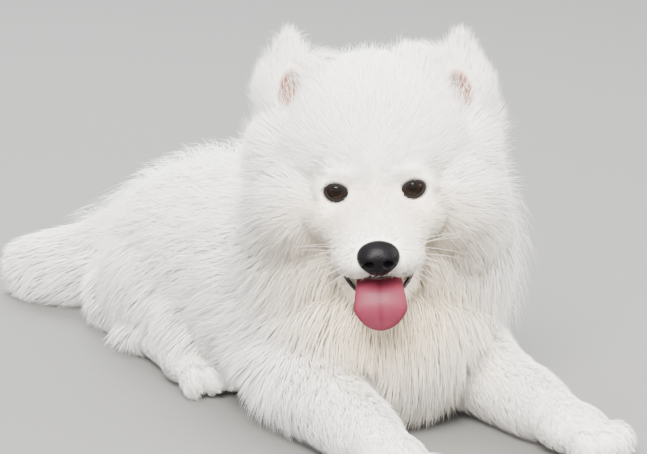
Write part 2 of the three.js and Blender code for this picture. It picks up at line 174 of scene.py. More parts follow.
# Ears: trunk, cup in front, shift of each ear in x and z, and radii of fur, flush and thin fur
EAR = [(50, 60, 24, 27, 15), (55, 60, 46, 24, 13), (56.5, 62, 60, 15.5, 8.5), (57, 64, 74, 5, 4)]
EAR_CUP = ((55, 42, 46), (11, 16, 20))
EAR_SHIFT = {-1: (5, 3), 1: (2, -3)}
EAR_FUR = (34, 26, 38)
EAR_FLUSH = (13, 18, 23)
EAR_SPARSE = (10.5, 14, 19)

# Eyes: distance, shift inwards, depth, three turns in degrees, half the opening, the holes in skin
# and coat, and the gaze
EYE_APART = 52
EYE_INWARD = 1.8
EYE_BACK = 4
EYE_TILT = 13
EYE_DOWN = -7
EYE_OUT = 5
EYE_OPENING = (6.0, 4.6)
EYE_IN_SKIN = (8.6, 6.2)
EYE_IN_COAT = (8.4, 6.4)
GAZE = Vector((0, -0.95, 0.30))

# The rings of a lid: how far out from the opening, how high over the eyeball, and how dark
LID_RINGS = (
    (-0.3, 0.1, 1),
    (0.2, 0.75, 1),
    (1.0, 1.0, 1),
    (1.7, 0.75, 1),
    (2.5, 0.5, 0.85),
    (3.6, 0.9, 0.4),
    (5.2, 0.4, 0.1),
    (7.0, -1.6, 0),
)

# The plane behind the head: a point on it and the way that is towards the head
NAPE = np.array([0, 62, -25])
NAPE_WAY = np.array([0, -0.5, 0.866])

# Areas of markings and coat: middle and radii, in the frame of the head or the puppy
AREAS = {
    # The cream under the chin and on the breast is partly the coat's own cream, partly painted shade
    # beneath the head
    "cream and shade under the chin": ((0, 0, -50), (85, 60, 62)),
    "cream and shade on the breast": ((0, -70, 60), (80, 60, 60)),
    "cream eye": ((26, -3, 0), (13, 12, 10)),
    "cream mouth corner": ((28, -12, -44), (9, 16, 7)),
    "dark mouth": ((0, -14, -47), (24, 40, 5.5)),
    "bare mouth": ((0, -14, -47.5), (25, 40, 6)),
    "bare nose": ((0, -52, -25), (15.5, 12, 12)),
    "mouth edge": ((0, -14, -46), (26, 41, 8)),
    "eye edge": ((26, -4, 0), (15, 14, 13)),
    "thigh": ((84, 180, 40), (45, 110, 60)),
    "hind foot": ((78, 108, 12), (28, 78, 27)),
}

# Short hair: depth and length, then width and number of tufts next to the long coat's
SHORT_HAIR = {
    "foreleg": (6.5, 12, 0.6, 1.5),
    "forepaw": (3.0, 5.5, 0.45, 2.5),
    "hind foot": (3.5, 7, 0.45, 2.6),
    "over the lip": (2.0, 5.0),
    "mouth edge": (1.0, 2.3),
    "eye edge": (1.3, 3.4, 0.32),
    "ear": (5.5, 14, 0.42, 2.8),
    "ear tip": (4.5, 18, 0.36),
    "ear fringe": (5, 13),
}

# Tufts: places of rings and tip, widths of the rings, their section, tufts in a piece, how far
# roots are sunk, a tuft's patch of the unwrap, roots in a lock
TUFT_STEPS = np.array([0, 0.48, 1])
RING_WIDTHS = np.array([0.9, 0.85])
RING_SECTION = (1.15, 0.6)
TUFTS_IN_A_PIECE = 19000
TUFT_SUNK = 0.8
TUFT_PATCH = 0.003
ROOTS_IN_A_LOCK = 16

# Wisps: their share of the tufts above a height, and how high and wide they are
WISPS = 0.13
WISPS_ABOVE = 60
WISP_DEPTH = 1.75
WISP_WIDTH = 0.5

# The wander of the lie over the body: period and amount, and the scatter of single tufts
LIE_WAVES = ((46, 0.16), (23, 0.14), (11, 0.10))
LIE_SCATTER = 0.17
FACING_SCATTER = 0.10

# Half the width past which the coat lies flatter, and by how much
COAT_REACH = 102
FLATTER = 0.65

# The stage, in metres: lamps with place, size, power and colour, and the camera
LAMPS = {
    "key": ((-1.3, -1.6, 2.1), 1.3, 335, (1.0, 0.97, 0.92)),
    "fill": ((1.8, -1.3, 1.2), 1.8, 90, (1.0, 0.95, 0.88)),
    "back": ((0.4, 1.9, 2.2), 1.5, 170, (0.94, 0.97, 1.0)),
}
LAMPS_AIM = Vector((0, 0.05, 0.1))
SKY = (0.93, 0.94, 0.96, 1)
SKY_STRENGTH = 2.5
CAMERA_AT = Vector((-0.7557, -1.2605, 0.4929))
CAMERA_AIM = Vector((-0.028, 0, 0.130))
CAMERA_LENS = 123.6


def smoothstep(value, low, high):
    share = np.clip((value - low) / (high - low), 0, 1)
    return share * share * (3 - 2 * share)


def fade(value, low, high):
    """1 below low, 0 above high."""
    return 1 - smoothstep(value, low, high)


def unit(ways):
    """The same ways with length 1."""
    return ways / np.maximum(np.linalg.norm(ways, axis=-1, keepdims=True), 1e-12)


def inside(points, middle, radii):
    """Distance from an ellipsoid's middle, 1 on its surface."""
    return np.linalg.norm((points - np.array(middle)) / np.array(radii), axis=1)


def mirrored(row, s):
    """A place, or a row of a trunk, on side s."""
    return (row[0] * s, *row[1:])


def in_area(points, name, s=1):
    """Distance from the middle of an area on side s, 1 at its edge."""
    middle, radii = AREAS[name]
    return inside(points, mirrored(middle, s), radii)


def to_head(points):
    """Points in metres to the head's frame in millimetres."""
    return (points - HEAD_AT) @ HEAD_TURN / MM


def from_head(points):
    """Points in the head's frame in millimetres to metres."""
    return points * MM @ HEAD_TURN.T + HEAD_AT


def way_from_head(way):
    """A way in the head's frame as a way in the puppy's."""
    return np.asarray(way) @ HEAD_TURN.T


def ear_cup(s, back=0):
    """The middle of the ear's cup in the head's frame."""
    x, y, z = EAR_CUP[0]
    return x * s + EAR_SHIFT[s][0], y + back, z + EAR_SHIFT[s][1]


def in_eye(local, s, opening):
    """Distance from the middle of an eye's tilted opening, 1 at its edge."""
    x = local[:, 0] - s * EYE_APART / 2
    z = local[:, 2]
    tilt = math.radians(EYE_TILT) * s
    across = x * math.cos(tilt) + z * math.sin(tilt)
    up = -x * math.sin(tilt) + z * math.cos(tilt)
    return np.sqrt((across / opening[0]) ** 2 + (up / opening[1]) ** 2)


# Properties


def length_of(name, description, size):
    return FloatProperty(name=name, description=description, default=size * MM, unit="LENGTH")


def colour_of(name, description, colour):
    return FloatVectorProperty(name=name, description=description, subtype="COLOR", default=colour)


class PuppySizes(bpy.types.PropertyGroup):
    """Sizes of the puppy's coat and features"""

    skin_detail: length_of("Skin detail", "Edge of the skin's faces", 2.4)
    coat_depth: length_of("Coat depth", "How far the long coat stands off", 17)
    coat_length: length_of("Coat length", "How far a long tuft runs along the body", 30)
    tufts: IntProperty(name="Tufts", description="Tufts in the whole coat", default=148000, min=1000)
    tuft_width: length_of("Tuft width", "Width of a long tuft at its root", 0.78)
    clumping: FloatProperty(
        name="Clumping", description="How much tips lean together", default=0.20, subtype="FACTOR"
    )
    eye_radius: length_of("Eye radius", "Radius of an eyeball", 10.5)


class PuppyColours(bpy.types.PropertyGroup):
    """Colours of the puppy"""

    tip: colour_of("Coat tips", "White of the outer coat", (0.95, 0.945, 0.935))
    root: colour_of("Coat roots", "Deeper coat near the skin", (0.92, 0.895, 0.86))
    # The cream also stands for painted shade under the chin and on the breast
    cream: colour_of("Cream", "Cream of the ruff and cheeks", (0.80, 0.64, 0.42))
    flesh: colour_of("Ear skin", "Bare skin inside the ears", (0.36, 0.16, 0.11))
    dark: colour_of("Lips and rims", "Skin of the lips and eye rims", (0.008, 0.006, 0.006))
    nose: colour_of("Nose", "Leather of the nose", (0.0032, 0.0028, 0.0034))
    iris: colour_of("Iris", "Iris round the pupil", (0.008, 0.003, 0.0014))
    tongue: colour_of("Tongue", "Flesh of the tongue", (0.128, 0.019, 0.035))
    floor: colour_of("Floor", "Plain floor", (0.145, 0.144, 0.138))


def sizes():
    return bpy.context.scene.puppy_sizes


def colours():
    return bpy.context.scene.puppy_colours


# Shapes


def along_rows(rows, share):
    """The row at a share of the length, on a smooth curve through the rows."""
    at = share * (len(rows) - 1)
    i = min(int(at), len(rows) - 2)
    f = at - i
    near = [rows[max(0, min(len(rows) - 1, k))] for k in (i - 1, i, i + 1, i + 2)]
    a, b, c, d = (np.array(row, float) for row in near)
    square = 2 * a - 5 * b + 4 * c - d
    cube = 3 * b - a - 3 * c + d
    return 0.5 * (2 * b + (c - a) * f + square * f * f + cube * f**3)


def section(rows, share, side):
    """Middle, axes along, across and deep, half width and half depth at a share."""
    here = along_rows(rows, share)
    run = along_rows(rows, min(1, share + 0.02)) - along_rows(rows, max(0, share - 0.02))
    along = Vector(run[:3]).normalized()
    across = (side - along * side.dot(along)).normalized()
    return Vector(here[:3]), along, across, along.cross(across), here[3], here[4]


def sphere(around, high):
    """A bmesh ball of radius 1, and its points."""
    bm = bmesh.new()
    bmesh.ops.create_uvsphere(bm, u_segments=around, v_segments=high, radius=1)
    return bm, np.array([v.co for v in bm.verts])


def reshaped(bm, points):
    """The bmesh with its points at new places in millimetres."""
    for vert, point in zip(bm.verts, points):
        vert.co = point * MM
    return bm


class Balls:
    """Ellipsoids in millimetres, joined as one array mesh."""

    def __init__(self, around=24, high=16):
        bm, self.unit = sphere(around, high)
        self.faces = [[v.index for v in f.verts] for f in bm.faces]
        bm.free()
        self.places = []

    def add(self, middle, radii, place=Matrix(), turn=(0, 0, 0)):
        own = Euler([math.radians(a) for a in turn]).to_matrix().to_4x4()
        self.places.append(place @ Matrix.Translation(middle) @ own @ Matrix.Diagonal((*radii, 1)))

    def string(self, rows, count, side=X_AXIS, place=Matrix(), grow=0.0):
        """A trunk as a string of ellipsoids, each long enough to overlap the next."""
        length = sum((Vector(b[:3]) - Vector(a[:3])).length for a, b in zip(rows, rows[1:]))
        for i in range(count):
            middle, along, across, deep, wide, thick = section(rows, i / (count - 1), side)
            run = max(1.3 * length / (count - 1), 0.55 * min(wide, thick))
            axes = Matrix((across, along, -deep)).transposed().to_4x4()
            size = Matrix.Diagonal((wide + grow, run, thick + grow, 1))
            self.places.append(place @ Matrix.Translation(middle) @ axes @ size)

    def toes(self, place, apart, front, height, radii, droop=0):
        """A row of toes or claws on an arc in front of a paw."""
        for k in TOES:
            self.add((apart * k, front - 7 * math.cos(k), height), radii, place, (droop, 0, 7 * k))

    def object(self, name):
        places = [np.array(p) for p in self.places]
        points = np.concatenate([self.unit @ p[:3, :3].T + p[:3, 3] for p in places])
        step = len(self.unit)
        faces = [[k + i * step for k in f] for i in range(len(places)) for f in self.faces]
        mesh = bpy.data.meshes.new(name)
        mesh.from_pydata(points * MM, [], faces)
        mesh.shade_smooth()
        return new_object(name, mesh)


def paw_place(middle, turn):
    return Matrix.Translation(middle) @ Matrix.Rotation(math.radians(turn), 4, "Z")


def hindpaw_place(s):
    middle, turn = HINDPAW
    return paw_place(mirrored(middle, s), turn * s)


def round_turns(around):
    """Angles all the way round, in equal steps."""
    return [2 * math.pi * k / around for k in range(around)]


def loft(rings, closed=True):
    """A tube through rings of points in millimetres, with both ends filled when closed."""
    bm = bmesh.new()
    made = [[bm.verts.new(p) for p in ring] for ring in rings]
    around = len(rings[0])
    for low, high in zip(made, made[1:]):
        for k in range(around):
            after = (k + 1) % around
            bm.faces.new((low[k], low[after], high[after], high[k]))
    if closed:
        bm.faces.new(reversed(made[0]))
        bm.faces.new(made[-1])
    bmesh.ops.scale(bm, vec=(MM, MM, MM), verts=bm.verts)
    return bm


def tube(path, radii, around):
    """A closed tube along a path, with its own radius at each place."""
    rings = []
    for i, here in enumerate(path):
        along = (path[min(i + 1, len(path) - 1)] - path[max(i - 1, 0)]).normalized()
        side = along.cross(Vector((0.2, 0.3, 0.93))).normalized()
        deep = along.cross(side)
        ways = [side * math.cos(a) + deep * math.sin(a) for a in round_turns(around)]
        rings.append([here + radii[i] * way for way in ways])
    return loft(rings)


def joined(parts):
    """One bmesh from several."""
    whole = bmesh.new()
    for bm in parts:
        mesh = bpy.data.meshes.new("part")
        bm.to_mesh(mesh)
        bm.free()
        whole.from_mesh(mesh)
        bpy.data.meshes.remove(mesh)
    return whole


def new_object(name, data):
    made = bpy.data.objects.new(name, data)
    bpy.context.collection.objects.link(made)
    return made


def finished(bm, name):
    """Turns a bmesh into a smooth object with its normals outwards."""
    bmesh.ops.recalc_face_normals(bm, faces=bm.faces)
    mesh = bpy.data.meshes.new(name)
    bm.to_mesh(mesh)
    bm.free()
    mesh.shade_smooth()
    return new_object(name, mesh)


def head_object(bm, name):
    """A piece made in the head's frame, put in its place."""
    made = finished(bm, name)
    set_coordinates(made.data, from_head(coordinates(made.data) / MM))
    return made


def apply_modifiers(made):
    """Makes an object's modifiers part of its mesh."""
    bpy.context.view_layer.update()
    shaped = made.evaluated_get(bpy.context.evaluated_depsgraph_get())
    mesh = bpy.data.meshes.new_from_object(shaped)
    made.modifiers.clear()
    old = made.data
    made.data = mesh
    bpy.data.meshes.remove(old)
    mesh.name = made.name
    mesh.shade_smooth()


def coordinates(mesh):
    flat = np.empty(len(mesh.vertices) * 3, np.float32)
    mesh.vertices.foreach_get("co", flat)
    return flat.reshape(-1, 3).astype(float)


def set_coordinates(mesh, points):
    mesh.vertices.foreach_set("co", points.astype(np.float32).ravel())
    mesh.update()


def set_attribute(mesh, name, values):
    """Stores a number at each point of a mesh."""
    layer = mesh.attributes.get(name) or mesh.attributes.new(name, "FLOAT", "POINT")
    layer.data.foreach_set("value", np.asarray(values, np.float32).ravel())


def keep(made, look, slot, *replaced):
    """Gives a piece its look, and lets it ride on the body and stand for solids; its slot is not used."""
    made.data.materials.append(look.material)
    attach(made, "root")
    if replaced:
        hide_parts(*replaced)


# Materials


def scaled(colour, share):
    return [min(1, share * c) for c in colour]


class Look:
    """A material made of noise, cells and attributes on the object's own coordinates."""

    def __init__(self, name, roughness):
        self.material = bpy.data.materials.new(name)
        self.material.use_nodes = True
        self.nodes = self.material.node_tree.nodes
        self.links = self.material.node_tree.links
        self.shader = self.nodes["Principled BSDF"]
        self.shader.inputs["Roughness"].default_value = roughness

    def shine(self, specular, coat=0.0, coat_roughness=0.03):
        self.shader.inputs["Specular IOR Level"].default_value = specular
        self.shader.inputs["Coat Weight"].default_value = coat
        self.shader.inputs["Coat Roughness"].default_value = coat_roughness

    def texture(self, kind, scale):
        place = self.nodes.new("ShaderNodeTexCoord")
        node = self.nodes.new(kind)
        node.inputs["Scale"].default_value = scale
        self.links.new(place.outputs["Object"], node.inputs["Vector"])
        return node

    def noise(self, scale, detail=3.0):
        node = self.texture("ShaderNodeTexNoise", scale)
        node.inputs["Detail"].default_value = detail
        return node.outputs["Fac"]

    def cells(self, scale):
        return self.texture("ShaderNodeTexVoronoi", scale).outputs["Distance"]

    def attribute(self, name):
        node = self.nodes.new("ShaderNodeAttribute")
        node.attribute_name = name
        return node.outputs["Fac"]

    def mixed(self, first, second, share):
        """A colour between two colours, each given as a colour or a socket."""
        node = self.nodes.new("ShaderNodeMix")
        node.data_type = "RGBA"
        for value, socket in ((first, node.inputs[6]), (second, node.inputs[7])):
            if isinstance(value, bpy.types.NodeSocket):
                self.links.new(value, socket)
            else:
                socket.default_value = (*value, 1)
        self.links.new(share, node.inputs[0])
        return node.outputs[2]

    def colour(self, socket):
        self.links.new(socket, self.shader.inputs["Base Color"])

    def mottled(self, first, second, scale):
        """Colours the shader with a wander between two colours."""
        self.colour(self.mixed(first, second, self.noise(scale)))

    def bump(self, height, strength, distance):
        node = self.nodes.new("ShaderNodeBump")
        node.inputs["Strength"].default_value = strength
        node.inputs["Distance"].default_value = distance
        self.links.new(height, node.inputs["Height"])
        self.links.new(node.outputs["Normal"], self.shader.inputs["Normal"])


def coat_look():
    """White fur: shaded from root to tip, with the cream of the ruff and cheeks, which is partly painted
    shade beneath the head.
    """
    look = Look("samoyed_coat", 0.75)
    white = look.mixed(colours().root, colours().tip, look.attribute("shade"))
    # The cream is partly painted shade beneath the head
    look.colour(look.mixed(white, colours().cream, look.attribute("cream_and_shade")))
    look.shader.inputs["Sheen Weight"].default_value = 0.25
    look.shader.inputs["Sheen Roughness"].default_value = 0.6
    look.shine(0.25)
    return look


def skin_look():
    """Pale skin and short fur, flushed inside the ears and dark at the lips and eyes."""
    look = Look("samoyed_skin", 0.85)
    tone = look.mixed(colours().root, colours().tip, look.noise(60))
    # The cream is partly painted shade beneath the head
    for colour, name in ((colours().cream, "cream_and_shade"), (colours().flesh, "flush"), (colours().dark, "dark")):
        tone = look.mixed(tone, colour, look.attribute(name))
    look.colour(tone)
    look.bump(look.noise(900, 2), 0.35, 0.0006)
    look.shine(0.2)
    return look


def eye_look():
    """Pupil, iris and white by the angle from the gaze, under a clear coat."""
    look = Look("puppy_eye", 0.08)
    iris = tuple(colours().iris)
    pupil = (0.002, 0.002, 0.002)
    stops = (
        (0.0, pupil),
        (0.085, pupil),
        (0.10, tuple(scaled(iris, 1.7))),
        (0.17, iris),
        (0.20, (0.010, 0.005, 0.003)),
        (0.23, (0.10, 0.075, 0.065)),
    )
    node = look.nodes.new("ShaderNodeValToRGB")
    look.links.new(look.attribute("ring"), node.inputs["Fac"])
    ramp = node.color_ramp.elements
    ramp[0].color = (*stops[0][1], 1)
    ramp[1].position = stops[-1][0]
    ramp[1].color = (*stops[-1][1], 1)
    for position, colour in stops[1:-1]:
        ramp.new(position).color = (*colour, 1)
    look.colour(look.mixed(node.outputs["Color"], (0.004, 0.002, 0.001), look.noise(700)))
    look.shine(0.08, 0.16, 0.02)
    return look


# Skin


def carve_face(points):
    """Eye openings and the ears' cups, pressed into the skin's points."""
    local = to_head(points)
    for s in BOTH:
        in_front = local[:, 1] < 8
        push = fade(in_eye(local, s, EYE_IN_SKIN), 0.75, 1.1) * in_front
        local[:, 1] = local[:, 1] * (1 - push) + 3.0 * push
        cup_x, cup_y, cup_z = ear_cup(s)
        wide, deep, high = EAR_CUP[1]
        across = ((local[:, 0] - cup_x) / wide) ** 2 + ((local[:, 2] - cup_z) / high) ** 2
        floor = cup_y + deep * np.sqrt(np.clip(1 - across, 0, 1))
        hollow = (across < 1) & (local[:, 1] < cup_y + deep)
        local[:, 1] = np.where(hollow, np.maximum(local[:, 1], floor), local[:, 1])
    return from_head(local)


class PUPPY_OT_skin(bpy.types.Operator):
    """Makes the one skin of the puppy, under its coat"""

    bl_idname = "puppy.skin"
    bl_label = "Skin"

    def execute(self, context):
        balls = Balls()
        balls.string(TORSO, 40)
        balls.string(NECK, 22, side=NECK_SIDE)
        balls.string(TAIL, 30, grow=4)
        balls.add(*BREAST)
        for s in BOTH:
            for middle, radii in THIGH:
                balls.add(mirrored(middle, s), radii)
            balls.string(FORELEG[s], 26, grow=-6)
            self.paw(balls, paw_place(*FOREPAW[s]))
            balls.string([mirrored(row, s) for row in HINDFOOT], 16, grow=-3)
            self.paw(balls, hindpaw_place(s))
        self.head(balls)
        skin = balls.object("skin")
        self.soften(skin)
        points = carve_face(coordinates(skin.data))
        points[:, 2] = np.maximum(points[:, 2], 0.3 * MM)
        set_coordinates(skin.data, points)
        self.unwrap(skin)
        mark(skin.data)
        keep(skin, skin_look(), "coat", *FLESH)
        return {"FINISHED"}

    def head(self, balls):
        for middle, radii in SKULL:
            balls.add(middle, radii, HEAD)
        balls.string(MUZZLE, 18, place=HEAD)
        balls.string(JAW, 16, place=HEAD)
        for s in BOTH:
            for middle, radii in HEAD_SIDE.values():
                balls.add(mirrored(middle, s), radii, HEAD)
            along, up = EAR_SHIFT[s]
            ear = [(x * s + along, y, z + up, wide, thick) for x, y, z, wide, thick in EAR]
            balls.string(ear, 18, side=Vector((0.94, 0.35 * s, 0)), place=HEAD)

    def paw(self, balls, place):
        balls.add(*PAW_PAD, place)
        balls.toes(place, 10.2, -18, -3, (6.6, 12.5, 10.5))

    def soften(self, skin):
        """Joins the balls to one smooth surface."""
        remesh = skin.modifiers.new("joined", "REMESH")
        remesh.mode = "VOXEL"
        remesh.voxel_size = sizes().skin_detail
        smooth = skin.modifiers.new("softened", "SMOOTH")
        smooth.factor = 0.5
        smooth.iterations = 5
        apply_modifiers(skin)

    def unwrap(self, skin):
        bpy.ops.object.select_all(action="DESELECT")
        skin.select_set(True)
        bpy.context.view_layer.objects.active = skin
        skin.data.uv_layers.new(name="OFBake")
        bpy.ops.object.mode_set(mode="EDIT")
        bpy.ops.mesh.select_all(action="SELECT")
        bpy.ops.uv.smart_project(angle_limit=math.radians(66), island_margin=0.002)
        bpy.ops.object.mode_set(mode="OBJECT")


def mark(mesh):
    """Stores where a mesh of the skin is cream or under painted shade, flushed and dark."""
    for name, values in markings(coordinates(mesh)).items():
        set_attribute(mesh, name, values)


def markings(points):
    """The markings shared by skin and coat, for points in metres; the cream under the chin and on the
    breast is partly painted shade.
    """
    local = to_head(points)
    # Cream under the chin and on the breast: partly the coat's own cream, partly painted shade beneath
    # the head
    cream_and_shade = 0.12 + 0.52 * fade(in_area(local, "cream and shade under the chin"), 0.5, 1.15)
    cream_and_shade += 0.25 * fade(in_area(points / MM, "cream and shade on the breast"), 0.5, 1.2)
    flush = np.zeros(len(points))
    for s in BOTH:
        cream_and_shade = np.maximum(cream_and_shade, 0.36 * fade(in_area(local, "cream eye", s), 0.8, 1.9))
        cream_and_shade = np.maximum(cream_and_shade, 0.45 * fade(in_area(local, "cream mouth corner", s), 0.6, 1.8))
        flush = np.maximum(flush, fade(inside(local, ear_cup(s, 8), EAR_FLUSH), 0.6, 1.0))
    return {"cream_and_shade": cream_and_shade, "flush": flush, "dark": fade(in_area(local, "dark mouth"), 0.85, 1.05)}


# Coat


class Hair:
    """Lie, depth, length, width and density of the coat at points of the skin, in metres."""

    def __init__(self, points):
        self.local = to_head(points)
        self.mm = points / MM
        count = len(points)
        self.full_depth = sizes().coat_depth / MM
        self.full_length = sizes().coat_length / MM
        self.lie = np.zeros((count, 3))
        self.depth = np.full(count, self.full_depth)
        self.length = np.full(count, self.full_length)
        self.width = np.ones(count)
        self.density = np.ones(count)
        self.body()
        self.low()
        self.tail()
        for s in BOTH:
            self.foreleg(s)
            self.hindleg(s)
        self.head()
        self.face()
        for s in BOTH:
            self.ear(s)

    def blend(self, share, row, lie=None):
        """Moves depth, length, width and density, as far as the row goes, and the lie."""
        for name, value in zip(("depth", "length", "width", "density"), row):
            now = getattr(self, name)
            setattr(self, name, now + share * (value - now))
        if lie is not None:
            self.lie += share[:, None] * (np.asarray(lie, float) - self.lie)

    def long(self, depth, length, *more):
        """A row of the long coat, from shares of its full depth and length."""
        return depth * self.full_depth, length * self.full_length, *more

    def body(self):
        """Back along the trunk and down its sides, straight down on the breast."""
        chest = smoothstep(-self.mm[:, 1], -10, 60)
        out = 0.12 * np.clip(self.mm[:, 0] / 25, -1, 1)
        self.lie = np.stack([out, 1 - 0.92 * chest, -0.42 - 0.6 * chest], axis=1)

    def low(self):
        """Flatter and hanging where the coat comes down to the ground."""
        low = fade(self.mm[:, 2], 6, 46)
        out = np.stack([0.25 * np.sign(self.mm[:, 0]), 0.45 + 0 * low, -1 + 0 * low], axis=1)
        self.lie += 0.6 * low[:, None] * (out - self.lie)
        self.blend(low, self.long(0.62, 0.8))

    def tail(self):
        """Full along the tail, a little shorter at its tip."""
        y = self.mm[:, 1]
        self.blend(smoothstep(y, 283, 300), self.long(1.1, 1.1), (-0.63, 0.68, -0.36))
        self.blend(smoothstep(y, 345, 385), self.long(0.85, 0.75))

    def foreleg(self, s):
        """Shorter along the leg, and shortest on the paw."""
        reach = smoothstep(s * self.mm[:, 0], 20, 38) * fade(self.mm[:, 2], 62, 84)
        leg = smoothstep(-self.mm[:, 1], 10, 80) * reach
        self.blend(leg, SHORT_HAIR["foreleg"], (0.12 * s, -0.72, -0.62))
        self.blend(smoothstep(-self.mm[:, 1], 112, 142) * reach, SHORT_HAIR["forepaw"])

    def hindleg(self, s):
        """Back and down over the thigh, forward and short on the foot."""
        thigh = fade(in_area(self.mm, "thigh", s), 0.75, 1.0)
        self.blend(thigh, self.long(0.66, 0.9), (0.1 * s, 0.7, -0.75))
        foot = fade(in_area(self.mm, "hind foot", s), 0.8, 1.05)
        self.blend(foot, SHORT_HAIR["hind foot"], (0.1 * s, -0.9, -0.3))

    def head(self):
        """Fans away from the nose, longer on the crown and longest on the cheeks."""
        x, y, z = self.local.T
        self.on_head = smoothstep((self.local - NAPE) @ NAPE_WAY, -16, 12)
        fan = self.local - np.array([0, -78, -8])
        fan[:, 2] -= 0.4 * np.abs(x) * fade(z, -5, 20)
        fan[:, 2] -= 0.8 * np.abs(x) * fade(z, -45, -10)
        away = np.linalg.norm(self.local - np.array([0, -42, -26]), axis=1)
        crown = smoothstep(away, 45, 95)
        depth = 1.8 + 2.4 * smoothstep(away, 12, 48) + 5.6 * crown
        length = 3.4 + 5.2 * smoothstep(away, 12, 50) + 8.0 * crown
        row = (depth, length, 0.34 + 0.18 * crown, 3.4 - 1.0 * crown)
        self.blend(self.on_head, row, way_from_head(unit(fan)))
        cheek = smoothstep(np.abs(x), 44, 80) * fade(z, -25, 42)
        below = smoothstep(-z, 42, 60) * smoothstep(y, -6, 14)
        self.blend(self.on_head * np.maximum(cheek, below), self.long(0.85, 0.8, 0.66, 2.0))

    def face(self):
        """Down over the lip, and shortest beside the mouth and round the eyes."""
        y, z = self.local[:, 1], self.local[:, 2]
        over_lip = smoothstep(-z, 32, 38) * smoothstep(-y, 24, 38) * self.on_head
        self.blend(over_lip, SHORT_HAIR["over the lip"], way_from_head((0, -0.35, -1)))
        by_mouth = fade(in_area(self.local, "mouth edge"), 1.0, 1.5)
        self.blend(by_mouth * smoothstep(y, -38, -28) * self.on_head, SHORT_HAIR["mouth edge"])
        for s in BOTH:
            by_eye = fade(in_area(self.local, "eye edge", s), 0.85, 1.6)
            self.blend(by_eye, SHORT_HAIR["eye edge"])

    def ear(self, s):
        """Up and away from the cup, with a fringe that crosses it from the inner edge."""
        local = self.local
        middle_x, middle_y, middle_z = ear_cup(s)
        x = local[:, 0] - middle_x
        around = (middle_x + 2 * s, middle_y + 20, middle_z + 6)
        share = fade(inside(local, around, EAR_FUR), 0.85, 1.1) * smoothstep(local[:, 2], 18, 30)
        away = np.stack([0.8 * x / 16, np.full(len(x), 0.1), 1.1 + 0 * x], axis=1)
        self.blend(share, SHORT_HAIR["ear"], way_from_head(away))
        self.blend(share * smoothstep(local[:, 2], 48, 68), SHORT_HAIR["ear tip"])
        fringe = share * fade(s * x, -12, -7) * (local[:, 1] < 58)
        self.blend(fringe, SHORT_HAIR["ear fringe"], way_from_head((0.8 * s, -0.4, 0.9)))
        self.density[inside(local, ear_cup(s, 8), EAR_SPARSE) < 1] *= 0.12


def bare(points, normals):
    """Where no tuft grows: eyes, mouth, nose and the flats the puppy rests on."""
    local = to_head(points)
    none = points[:, 2] < 2.5 * MM
    none |= (normals[:, 2] < -0.75) & (points[:, 2] < 14 * MM)
    for name in ("bare nose", "bare mouth"):
        none |= in_area(local, name) < 1
    for s in BOTH:
        none |= (in_eye(local, s, EYE_IN_COAT) < 1) & (local[:, 1] < 12)
    return none


def region_names(points):
    """The coat piece that each root belongs to: the last region in the list that holds it."""
    local = to_head(points)
    x, y, z = (points / MM).T
    on_head = (local - NAPE) @ NAPE_WAY > 0
    regions = (
        ("coat_flank_right", x < 0),
        ("coat_back", z > 105),
        ("coat_thigh_right", (y > 175) & (x < 0)),
        ("coat_thigh_left", (y > 175) & (x >= 0)),
        ("coat_tail", y > 288),
        ("coat_breast", y < -5),
        ("coat_ruff", (z > 95) & (y < 30)),
        ("coat_forelegs", (y < -70) & (z < 60)),
        ("coat_crown", on_head),
        ("coat_cheeks", on_head & (local[:, 2] < 20)),
        ("coat_face", on_head & (local[:, 1] < 20)),
    )
    names = np.full(len(points), "coat_flank_left", object)
    for name, here in regions:
        names[here] = name
    return names


def read_array(items, name, size, kind):
    """A property of all of a mesh's items, as rows of the given size."""
    flat = np.empty(len(items) * size, kind)
    items.foreach_get(name, flat)
    return flat.reshape(-1, size)


